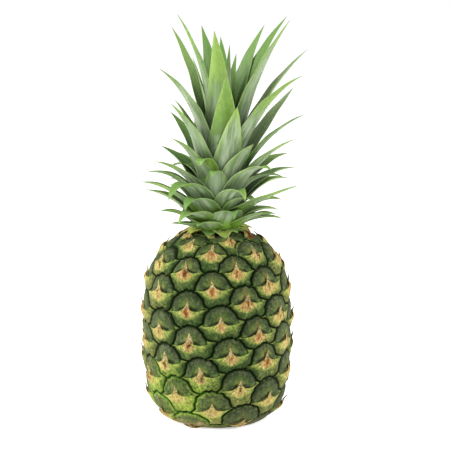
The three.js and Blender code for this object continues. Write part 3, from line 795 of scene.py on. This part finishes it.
class Finish:
    """A procedural material under construction, with short calls for the nodes that it needs."""

    def __init__(self, name):
        self.material = bpy.data.materials.new(name)
        self.material.use_nodes = True
        self.tree = self.material.node_tree
        self.shader = self.tree.nodes["Principled BSDF"]

    def node(self, kind, **settings):
        node = self.tree.nodes.new(kind)
        for name, value in settings.items():
            setattr(node, name, value)
        return node

    def put(self, socket, value):
        if hasattr(value, "is_linked"):
            self.tree.links.new(value, socket)
        else:
            socket.default_value = value

    def math(self, operation, *values):
        node = self.node("ShaderNodeMath", operation=operation)
        for socket, value in zip(node.inputs, values):
            self.put(socket, value)
        return node.outputs[0]

    def add(self, a, b):
        return self.math("ADD", a, b)

    def sub(self, a, b):
        return self.math("SUBTRACT", a, b)

    def mul(self, a, b):
        return self.math("MULTIPLY", a, b)

    def over(self, a, b):
        return self.math("DIVIDE", a, b)

    def off(self, value):
        """How far a value is from nought, whichever way."""
        return self.math("ABSOLUTE", value)

    def larger(self, a, b):
        return self.math("MAXIMUM", a, b)

    def root(self, value):
        return self.math("SQRT", value)

    def bearing(self, a, b):
        return self.math("ARCTAN2", a, b)

    def sway(self, noise, reach):
        """A noise of 0 to 1 as a swing of up to half of reach either way."""
        return self.mul(self.sub(noise, 0.5), reach)

    def ease(self, value, low, high, to_low=0.0, to_high=1.0):
        """A smooth step of value from low to high."""
        node = self.node("ShaderNodeMapRange", interpolation_type="SMOOTHSTEP")
        for socket, given in zip(node.inputs, (value, low, high, to_low, to_high)):
            self.put(socket, given)
        return node.outputs[0]

    def mix(self, share, a, b):
        node = self.node("ShaderNodeMix", data_type="RGBA")
        self.put(node.inputs["Factor"], share)
        self.put(node.inputs[6], a)
        self.put(node.inputs[7], b)
        return node.outputs[2]

    def mix_value(self, share, a, b):
        node = self.node("ShaderNodeMix", data_type="FLOAT")
        self.put(node.inputs[0], share)
        self.put(node.inputs[2], a)
        self.put(node.inputs[3], b)
        return node.outputs[0]

    def vector(self, x, y, z):
        node = self.node("ShaderNodeCombineXYZ")
        for socket, value in zip(node.inputs, (x, y, z)):
            self.put(socket, value)
        return node.outputs[0]

    def parts(self, vector):
        node = self.node("ShaderNodeSeparateXYZ")
        self.put(node.inputs[0], vector)
        return tuple(node.outputs)

    def noise(self, vector, scale, detail=3, roughness=0.5):
        node = self.node("ShaderNodeTexNoise")
        self.put(node.inputs["Vector"], vector)
        node.inputs["Scale"].default_value = scale
        node.inputs["Detail"].default_value = detail
        node.inputs["Roughness"].default_value = roughness
        return node.outputs["Fac"]

    def dots(self, vector, scale):
        node = self.node("ShaderNodeTexVoronoi")
        self.put(node.inputs["Vector"], vector)
        node.inputs["Scale"].default_value = scale
        return node.outputs["Distance"]

    def mark(self, name):
        """The four numbers of a corner mark."""
        node = self.node("ShaderNodeAttribute", attribute_name=name)
        return (*self.parts(node.outputs["Vector"]), node.outputs["Alpha"])

    def object_place(self):
        return self.node("ShaderNodeTexCoord").outputs["Object"]

    def bump(self, height, distance, strength=1.0):
        node = self.node("ShaderNodeBump")
        self.put(node.inputs["Height"], height)
        node.inputs["Distance"].default_value = distance * MM
        node.inputs["Strength"].default_value = strength
        self.put(self.shader.inputs["Normal"], node.outputs[0])

    def surface(self, base, roughness, specular=0.4):
        self.put(self.shader.inputs["Base Color"], base)
        self.put(self.shader.inputs["Roughness"], roughness)
        self.shader.inputs["Specular IOR Level"].default_value = specular
        return self.material


# Places with a colour of their own, in metres: rustier eyes (right and up), and a dry red-brown patch on the
# shoulder and on the leaf above it (right, back and up).
RUSTY_EYES = (-0.016, 0.093)
RIND_SCORCH = (0.0245, -0.006, 0.1388)
LEAF_SCORCH = (0.0275, -0.016, 0.1415)
GROOVE_BLACK = colour(14, 30, 2)
DOME_SHADOW = colour(14, 24, 4)


def away_from(f, place, spot):
    """How far a place is from a spot: its steps to the side and up added to part of its step to the back."""
    x, y, z = f.parts(place)
    seen = f.add(f.off(f.sub(x, spot[0])), f.off(f.sub(z, spot[2])))
    return f.add(seen, f.mul(f.off(f.sub(y, spot[1])), 0.4))


def dome_colours(f, eye, part, fine, coarse, grain):
    """The skin above a bract, dark olive grey and greener and paler round the tip's root, and its folds."""
    u, v, _, draw = eye
    bract, down, _, other = part
    across = f.off(u)
    above = f.sub(v, 0.1)
    angle = f.bearing(u, f.add(above, 0.001))
    reach = f.root(f.add(f.mul(u, u), f.mul(above, above)))
    folds = f.noise(f.vector(f.mul(angle, 8), f.mul(reach, 2.4), f.mul(draw, 40)), 2.6, 5, 0.66)
    olive = f.mix(other, colour(58, 70, 38), colour(76, 84, 56))
    dome = f.mix(f.ease(coarse, 0.36, 0.64), colour(30, 42, 20), olive)
    ring = f.add(reach, f.sway(coarse, 0.6))
    green = f.mix(draw, colour(62, 92, 30), colour(92, 108, 50))
    dome = f.mix(f.mul(f.ease(ring, 0.95, 0.35), f.ease(folds, 0.3, 0.6, 0.35, 1.0)), dome, green)
    dome = f.mix(f.ease(ring, 0.85, 1.35, 0.0, 0.6), dome, colour(34, 46, 20))
    dome = f.mix(f.ease(folds, 0.32, 0.54, 0.75, 0.0), dome, colour(22, 32, 8))
    dome = f.mix(f.ease(fine, 0.58, 0.74, 0.0, 0.4), dome, colour(128, 136, 98))
    rootlike = f.ease(f.add(reach, f.sway(folds, 0.9)), 0.55, 0.2)
    dome = f.mix(f.mul(rootlike, f.ease(other, 0.1, 0.9, 0.25, 0.8)), dome, colour(146, 142, 76))
    beside = f.ease(f.add(f.off(f.add(u, 0.06)), f.mul(f.off(f.sub(v, 0.4)), 0.2)), 0.22, 0.06)
    dome = f.mix(f.mul(beside, f.ease(draw, 0.3, 0.7, 0.1, 0.6)), dome, colour(112, 84, 44))

    # The bract's lip throws a shadow on the skin above it, and the cell's two side corners are paler.
    hollow = f.add(down, f.mul(f.ease(f.off(f.sub(across, 0.45)), 0.1, 0.5), 0.12))
    shadow = f.mul(f.ease(f.add(hollow, f.sway(coarse, 0.2)), 0.34, 0.1), f.ease(across, 0.98, 0.6))
    dome = f.mix(f.mul(f.mul(shadow, 0.92), f.sub(1.0, bract)), dome, DOME_SHADOW)
    corner = f.mul(f.ease(f.add(across, f.sway(coarse, 0.4)), 0.75, 1.1), f.ease(down, 0.4, 0.05))
    dome = f.mix(f.mul(corner, 0.8), dome, colour(78, 104, 44))

    # Past the dome's own round outline the skin runs out as green skirts under the bract's wings.
    outline = f.add(f.root(f.add(f.mul(u, u), f.mul(v, v))), f.sway(coarse, 0.16))
    outline = f.add(outline, f.sway(grain, 0.1))
    dome = f.mix(f.ease(outline, 1.16, 1.26, 0.0, 0.9), dome, colour(14, 28, 6))
    skirt = f.mix(coarse, colour(72, 96, 34), colour(122, 132, 66))
    return f.mix(f.ease(outline, 1.3, 1.4), dome, skirt), folds


def star_shape(f, u, low, other, ragged, size):
    """A measure that grows outwards from a ragged star: a tent under the dry tip that narrows downwards."""
    tent = f.larger(f.add(f.mul(low, f.sub(1.15, low)), 0.27), 0.1)
    tent = f.over(f.off(f.add(u, f.sway(other, 0.12))), tent)
    fall = f.math("POWER", f.over(low, 0.75), 3)
    return f.add(f.over(f.add(tent, fall), size), ragged)


def straw_colours(f, eye, low, rays, fine, coarse, place):
    """The star's straw, with a rusty heart that is stronger on the rustiest eyes."""
    u, _, _, draw = eye
    x, _, z = f.parts(place)
    straw = f.mix(f.ease(rays, 0.34, 0.66), colour(178, 160, 102), colour(126, 102, 52))
    heart = f.add(f.mul(f.off(u), 2.4), f.mul(f.off(f.sub(low, 0.26)), 1.2))
    heart = f.ease(f.add(heart, f.sway(coarse, 1.4)), 0.72, 0.16)
    warm = f.ease(f.add(f.off(f.sub(x, RUSTY_EYES[0])), f.off(f.sub(z, RUSTY_EYES[1]))), 0.045, 0.02)
    rust = f.mul(f.ease(f.noise(place, 330, 4, 0.6), 0.4, 0.58), f.ease(draw, 0.3, 0.9, 0.1, 1.0))
    heart = f.mul(heart, f.larger(f.ease(f.add(rust, f.mul(draw, 0.6)), 0.3, 0.9), warm))
    heart = f.larger(f.mul(rust, f.mix_value(warm, 0.35, 0.75)), heart)
    return f.mix(heart, straw, f.mix(fine, colour(92, 34, 8), colour(150, 80, 26)))


def bract_colours(f, eye, part, fine, coarse, place, outlying):
    """A bract: a star of straw below the tip, bright wings, then green going dark to its rim, the darkest
    part painted shade where it runs down between the domes below.

    Gives the rays that run out over it and the star's shape as well."""
    u, v, share, draw = eye
    bract, down, tip, other = part
    low = f.larger(f.sub(0.02, v), 0.0)
    fan = f.bearing(u, f.add(low, 0.25))
    out = f.root(f.add(f.mul(u, u), f.mul(low, low)))
    rays = f.noise(f.vector(f.mul(fan, 3.2), f.mul(out, 1.3), f.mul(other, 30)), 3.0, 4, 0.62)
    creases = f.noise(f.vector(f.mul(fan, 4), f.mul(out, 0.5), f.mul(draw, 30)), 1.7, 2, 0.5)
    ragged = f.sub(rays, 0.5)
    size = f.add(f.ease(draw, 0.0, 1.0, 0.75, 1.1), f.mul(outlying, 0.45))
    star = star_shape(f, u, low, other, ragged, size)

    away = f.root(f.add(f.mul(f.mul(u, u), 0.6), f.mul(f.mul(low, low), 2.2)))
    away = f.add(away, f.mul(ragged, 0.7))
    dark_end = f.mix(other, colour(44, 66, 24), colour(66, 86, 38))
    leafy = f.mix(f.ease(away, 1.3, 0.5), dark_end, f.mix(draw, colour(78, 102, 36), colour(96, 116, 50)))
    leafy = f.mix(f.ease(rays, 0.52, 0.66, 0.0, 0.4), leafy, colour(146, 152, 90))
    # Painted shade: darker towards the cell's rim, where the bract runs down between the domes below.
    leafy = f.mix(f.ease(f.add(share, f.mul(ragged, 0.6)), 0.55, 1.0, 0.0, 0.85), leafy, colour(24, 44, 8))
    leafy = f.mix(f.ease(creases, 0.4, 0.54, 0.65, 0.0), leafy, colour(30, 52, 8))
    leafy = f.mix(f.ease(coarse, 0.54, 0.7, 0.0, 0.35), leafy, colour(124, 132, 72))
    yellow = f.mix(f.ease(rays, 0.3, 0.7), colour(150, 152, 76), colour(92, 118, 46))
    wing = f.ease(f.add(down, f.mul(ragged, 0.45)), 0.68, 0.0)
    wing = f.mul(f.mul(wing, f.ease(f.off(u), 1.9, 1.0)), bract)
    leafy = f.mix(f.larger(f.mul(wing, 0.95), f.mul(f.ease(star, 2.1, 1.0), 0.8)), leafy, yellow)
    leafy = f.mix(f.ease(star, 1.4, 0.7), leafy, straw_colours(f, eye, low, rays, fine, coarse, place))

    crack = f.add(f.sub(u, f.sway(other, 0.3)), f.sway(coarse, 0.9))
    crack = f.mul(f.ease(f.off(crack), 0.09, 0.03), f.ease(low, 0.75, 0.3))
    leafy = f.mix(f.mul(crack, f.ease(other, 0.25, 0.65, 0.25, 0.9)), leafy, colour(62, 34, 12))
    dry_tip = f.mix(f.ease(fine, 0.4, 0.62), colour(176, 166, 122), colour(116, 98, 64))
    return f.mix(f.ease(tip, 0.04, 0.3), leafy, dry_tip), rays, star


def with_low_colours(f, base, place, on_bract, limed, coarse, grain):
    """The base colour with those low on the fruit: shaded domes, lime patches, and skin worn pale."""
    x, _, z = f.parts(place)
    lime = f.mix(f.ease(grain, 0.4, 0.6), colour(80, 126, 20), colour(158, 172, 66))
    shade = f.mul(f.ease(z, 0.05, 0.015, 0.0, 0.4), f.sub(1.0, on_bract))
    base = f.mix(shade, base, colour(24, 34, 10))
    base = f.mix(limed, base, lime)
    worn = f.ease(f.add(z, f.sway(coarse, 0.03)), 0.007, 0.001)
    worn = f.mul(worn, f.ease(f.add(x, f.mul(f.noise(place, 28, 2, 0.5), 0.04)), 0.03, -0.01, 0.15, 0.8))
    return f.mix(worn, base, f.mix(f.ease(grain, 0.4, 0.6), colour(190, 160, 116), colour(120, 100, 50)))


def rind_finish():
    """The rind: dark waxy domes in black-green grooves, and bracts with a straw star, wings and dry tips."""
    f = Finish("pineapple_rind")
    eye = f.mark("eye")
    part = f.mark("part")
    place = f.object_place()
    x, _, z = f.parts(place)
    fine = f.noise(place, 900, 4, 0.6)
    coarse = f.noise(place, 190, 4, 0.65)
    grain = f.noise(place, 480, 3, 0.7)
    # From 0 in the middle of the front to 1 low down and out to the sides, where the straw stars grow larger
    # and a pale painted sheen lies over the rind.
    outlying = f.larger(f.ease(f.off(x), 0.02, 0.05), f.ease(z, 0.06, 0.02))
    dome, folds = dome_colours(f, eye, part, fine, coarse, grain)
    leafy, rays, star = bract_colours(f, eye, part, fine, coarse, place, outlying)

    # Which of the two a spot belongs to: a bract's own faces, and the skin under its lip.
    share = eye[2]
    bract, down = part[:2]
    on_bract = f.larger(bract, f.ease(down, 0.012, 0.0))
    base = f.mix(on_bract, dome, leafy)
    base = f.mix(f.ease(grain, 0.52, 0.36, 0.0, 0.5), base, colour(20, 32, 8))
    flecks = f.mul(f.ease(grain, 0.54, 0.7), f.mix_value(on_bract, 0.4, 0.14))
    base = f.mix(flecks, base, f.mix(on_bract, colour(104, 112, 76), colour(178, 176, 112)))
    lowest = f.ease(f.add(z, f.sway(f.noise(place, 28, 2, 0.5), 0.06)), 0.056, 0.022)
    lowest = f.mul(lowest, f.ease(x, 0.014, -0.02))
    patches = f.ease(f.add(f.mul(rays, 0.5), f.mul(coarse, 0.5)), 0.42, 0.56)
    patches = f.mul(patches, f.mix_value(on_bract, 0.25, f.ease(star, 0.6, 1.4, 0.1, 0.8)))
    patches = f.larger(patches, f.ease(share, 0.72, 0.95, 0.0, 0.8))
    base = with_low_colours(f, base, place, on_bract, f.mul(lowest, patches), coarse, grain)
    # Painted sheen: the rind is paled towards the sides and low down, where the light grazes it.
    painted_side_sheen = f.mul(f.ease(f.add(outlying, f.sway(grain, 2)), 0.4, 1.3), f.mix_value(on_bract, 0.12, 0.2))
    base = f.mix(painted_side_sheen, base, f.mix(on_bract, colour(132, 138, 96), colour(184, 172, 92)))

    # The ragged groove round each eye, hidden where a bract runs over it.
    rim = f.ease(f.add(share, f.sway(grain, 0.14)), 0.875, 0.96)
    groove = f.mul(rim, f.sub(1.0, f.mul(bract, f.ease(down, 0.97, 0.8))))
    lime_groove = f.mul(lowest, f.ease(coarse, 0.4, 0.55))
    base = f.mix(groove, base, f.mix(lime_groove, GROOVE_BLACK, colour(42, 82, 10)))
    scorch = f.ease(f.add(away_from(f, place, RIND_SCORCH), f.sway(coarse, 0.004)), 0.0058, 0.0036)
    scorched = f.mix(f.ease(grain, 0.4, 0.6), colour(48, 12, 6), colour(112, 44, 24))
    base = f.mix(f.mul(scorch, 0.9), base, scorched)

    relief = f.mul(f.mix_value(on_bract, folds, rays), 0.6)
    f.bump(f.add(relief, f.add(f.mul(coarse, 0.5), f.mul(fine, 0.3))), 0.8, 0.95)
    f.shader.inputs["Sheen Weight"].default_value = 0.02
    f.shader.inputs["Sheen Tint"].default_value = colour(226, 226, 170)
    return f.surface(base, f.ease(fine, 0.3, 0.7, 0.55, 0.8), 0.1)


def leaf_bloom(f, along, aside, bloom_end, lines, bands, blotch):
    """How silvery the outer face is: up to a ragged line across the leaf, and less along its edges."""
    ragged = f.add(along, f.add(f.sway(blotch, 0.5), f.sway(bands, 0.35)))
    bloom = f.ease(f.sub(bloom_end, ragged), -0.1, 0.12)
    bloom = f.mul(bloom, f.ease(lines, 0.26, 0.5, 0.72, 1.0))
    return f.mul(bloom, f.ease(f.add(aside, f.sway(blotch, 0.8)), 1.05, 0.5, 0.3, 1.0))


def outer_face_colours(f, along, aside, draws, bloom, noises, z):
    """The outer face: painted shade darkening its base where it clasps among the other leaves, silvery along
    its middle, and fresh green on to the tip.
    """
    draw, other = draws
    lines, bands, blotch, specks = noises
    fresh = f.mix(draw, colour(70, 108, 34), colour(116, 146, 60))
    yellowish = f.ease(f.add(f.mul(blotch, 0.6), f.mul(specks, 0.4)), 0.42, 0.62, 0.0, 0.4)
    fresh = f.mix(yellowish, fresh, colour(142, 164, 84))
    fresh = f.mix(f.ease(along, 0.7, 0.25), fresh, colour(64, 96, 42))
    silver = f.mix(other, colour(130, 146, 116), colour(162, 174, 148))
    silver = f.mix(f.ease(bands, 0.34, 0.66), colour(92, 112, 76), silver)
    silver = f.mix(f.ease(specks, 0.54, 0.7, 0.0, 0.45), silver, colour(94, 116, 74))
    face = f.mix(f.mul(bloom, 0.92), fresh, silver)
    # Painted shade: darker green towards the leaf's base, deep among the other leaves, and darkest at the
    # root.
    base_shade = f.mix(f.ease(lines, 0.35, 0.65), colour(22, 42, 12), colour(50, 78, 28))
    face = f.mix(f.ease(f.add(along, f.sway(bands, 0.3)), 0.52, 0.12, 0.0, 0.94), face, base_shade)
    near_fruit = f.mul(f.ease(z, 0.178, 0.152), f.ease(f.add(along, f.sway(blotch, 0.6)), 0.6, 0.15))
    face = f.mix(f.mul(near_fruit, 0.8), face, colour(104, 142, 30))
    root_shade = f.add(f.add(along, f.sway(blotch, 0.2)), f.mul(f.ease(aside, 0.95, 0.5), 0.08))
    return f.mix(f.ease(root_shade, 0.34, 0.1, 0.0, 0.85), face, colour(26, 48, 10))


def inner_face_colours(f, along, draws, noises):
    """The inner face: deep green with paler lines, brighter towards the tip, silvery on the palest leaves."""
    draw, other = draws
    lines, bands, blotch, _ = noises
    deep = f.mix(other, colour(38, 64, 28), colour(54, 86, 38))
    deep = f.mix(f.ease(lines, 0.35, 0.65), deep, colour(82, 114, 58))
    deep = f.mix(f.ease(bands, 0.4, 0.7, 0.0, 0.4), deep, colour(116, 140, 100))
    bright = f.mix(draw, colour(90, 130, 56), colour(126, 154, 70))
    face = f.mix(f.ease(f.add(along, f.sway(blotch, 0.4)), 0.3, 0.95, 0.0, 0.7), deep, bright)
    pale = f.mul(f.ease(draw, 1.0, 1.5), f.ease(lines, 0.25, 0.5, 0.5, 0.85))
    return f.mix(pale, face, f.mix(bands, colour(104, 130, 82), colour(158, 172, 134)))


def withered_colours(f, along, other, lines, blotch):
    """A withering foot bract: straw-yellow, brown along its lines and at its tip."""
    withered = f.mix(f.ease(lines, 0.4, 0.64), colour(164, 170, 68), colour(108, 118, 46))
    brown = f.mul(f.ease(f.add(along, blotch), 0.9, 1.3), f.ease(other, 0.3, 0.8))
    return f.mix(brown, withered, colour(110, 62, 34))


def leaf_finish():
    """The leaves: silvery bloom over green, rubbed off towards the tips, green inner faces and pale edges."""
    f = Finish("pineapple_leaf")
    along, across, around, draw = f.mark("lay")
    bloom_end, length, half, other = f.mark("growth")
    inner = f.ease(around, 0.5001, 0.4999)
    place = f.object_place()
    far = f.mul(along, length)
    sideways = f.mul(across, half)
    aside = f.off(across)
    lines = f.noise(f.vector(f.mul(sideways, 14), f.mul(far, 2.2), f.mul(draw, 50)), 3.0, 4, 0.6)
    bands = f.noise(f.vector(f.mul(sideways, 1.7), f.mul(far, 1.9), f.mul(other, 40)), 2.2, 5, 0.6)
    blotch = f.noise(f.vector(f.mul(sideways, 1.6), f.mul(far, 6), f.mul(draw, 30)), 2.4, 5, 0.65)
    specks = f.noise(f.vector(f.mul(sideways, 9), f.mul(far, 24), f.mul(other, 20)), 2.0, 4, 0.7)
    fine = f.noise(place, 700, 3, 0.6)
    noises = (lines, bands, blotch, specks)

    bloom = leaf_bloom(f, along, aside, bloom_end, lines, bands, blotch)
    outer_face = outer_face_colours(f, along, aside, (draw, other), bloom, noises, f.parts(place)[2])
    base = f.mix(inner, outer_face, inner_face_colours(f, along, (draw, other), noises))
    old = f.mul(f.ease(bloom_end, -0.1, -0.3), f.ease(f.add(blotch, f.mul(draw, 0.6)), 0.65, 1.0, 0.1, 1.0))
    base = f.mix(old, base, withered_colours(f, along, other, lines, blotch))
    scorch = f.add(away_from(f, place, LEAF_SCORCH), f.mul(fine, 0.004))
    base = f.mix(f.ease(scorch, 0.011, 0.007), base, colour(96, 34, 14))
    base = f.mix(f.mul(f.ease(aside, 0.93, 0.99), 0.28), base, colour(164, 178, 122))
    dry = f.ease(f.add(along, f.sway(fine, 0.05)), 0.965, 0.995)
    base = f.mix(dry, base, colour(128, 112, 84))
    f.bump(f.add(f.mul(lines, 0.7), f.add(f.mul(specks, 0.3), f.mul(fine, 0.2))), 0.3, 0.8)
    return f.surface(base, f.ease(bloom, 0.0, 1.0, 0.4, 0.62), 0.28)


def stem_finish():
    """The dry cut end of the stem: pale fibrous wood with darker strands and a brown rim."""
    f = Finish("cut_stem_end")
    place = f.object_place()
    strands = f.dots(place, 700)
    grain = f.noise(place, 300, 4, 0.6)
    x, y, _ = f.parts(place)
    radius = f.root(f.add(f.mul(x, x), f.mul(y, y)))
    wood = f.mix(grain, colour(178, 150, 104), colour(206, 184, 138))
    wood = f.mix(f.ease(strands, 0.35, 0.1), wood, colour(122, 88, 54))
    wood = f.mix(f.ease(radius, 0.0105, 0.0132), wood, colour(96, 70, 42))
    f.bump(f.add(strands, grain), 0.4, 0.8)
    return f.surface(wood, 0.85, 0.2)


# ---- cut stem, stage, light and camera ----

def make_stem_end():
    """The stem's cut end: a short round bar with a softened rim and a slightly sunken middle."""
    bpy.ops.object.select_all(action="DESELECT")
    bpy.ops.mesh.primitive_cylinder_add(
        vertices=STEM_SIDES, radius=STEM_RADIUS * MM, depth=STEM_DEPTH * MM,
        location=(0, 0, STEM_DEPTH / 2 * MM),
    )
    stem = bpy.context.object
    stem.name = "stem_end"
    bpy.ops.object.transform_apply(location=True, rotation=True, scale=True)
    bpy.ops.object.mode_set(mode="EDIT")
    bpy.ops.mesh.select_mode(type="FACE")
    bpy.ops.mesh.select_all(action="DESELECT")
    bpy.ops.object.mode_set(mode="OBJECT")
    for face in stem.data.polygons:
        face.select = face.normal.z < -0.9
    bpy.ops.object.mode_set(mode="EDIT")
    for thickness, depth in STEM_STEPS:
        bpy.ops.mesh.inset(thickness=thickness * MM, depth=depth * MM)
    bpy.ops.object.mode_set(mode="OBJECT")
    bevel = stem.modifiers.new("rim", "BEVEL")
    bevel.width = STEM_ROUNDING * MM
    bevel.segments = 2
    select_only(stem)
    bpy.ops.object.modifier_apply(modifier="rim")
    return stem


def make_stage():
    bpy.ops.mesh.primitive_circle_add(vertices=96, radius=FLOOR_RADIUS, fill_type="NGON", location=(0, 0, 0))
    floor = bpy.context.object
    floor.name = "floor"
    f = Finish("white_paper")
    f.shader.inputs["Emission Color"].default_value = (1, 1, 1, 1)
    f.shader.inputs["Emission Strength"].default_value = FLOOR_GLOW
    floor.data.materials.append(f.surface(colour(246, 246, 246), 0.9, 0.1))


def make_lights():
    world = bpy.data.worlds.new("studio")
    bpy.context.scene.world = world
    world.use_nodes = True
    world.node_tree.nodes["Background"].inputs["Color"].default_value = (1, 1, 1, 1)
    world.node_tree.nodes["Background"].inputs["Strength"].default_value = ROOM_LIGHT
    for name, box in BOXES.items():
        light = bpy.data.lights.new(name, "AREA")
        light.size = box["size"]
        light.energy = box["power"]
        lamp = bpy.data.objects.new(name, light)
        bpy.context.scene.collection.objects.link(lamp)
        lamp.location = box["place"]
        lamp.rotation_euler = (Vector(LIT_SPOT) - lamp.location).to_track_quat("-Z", "Y").to_euler()


def make_camera():
    data = bpy.data.cameras.new("camera")
    camera = bpy.data.objects.new("camera", data)
    bpy.context.scene.collection.objects.link(camera)
    camera.location = AIM + DISTANCE * Vector((0, -math.cos(ELEVATION), math.sin(ELEVATION)))
    camera.rotation_euler = (AIM - camera.location).to_track_quat("-Z", "Y").to_euler()
    data.sensor_width = SENSOR
    data.lens = SENSOR * DISTANCE / (PICTURE * PIXEL)
    bpy.context.scene.camera = camera


make_camera()
make_lights()
make_stage()
rind = rind_finish()
finish_piece(make_skin(), "fruit", rind)
finish_piece(make_bracts(), "fruit", rind)
finish_piece(make_leaves(), "crown", leaf_finish())
finish_piece(make_stem_end(), "cut_stem", stem_finish())
bpy.context.scene.view_settings.view_transform = "Standard"
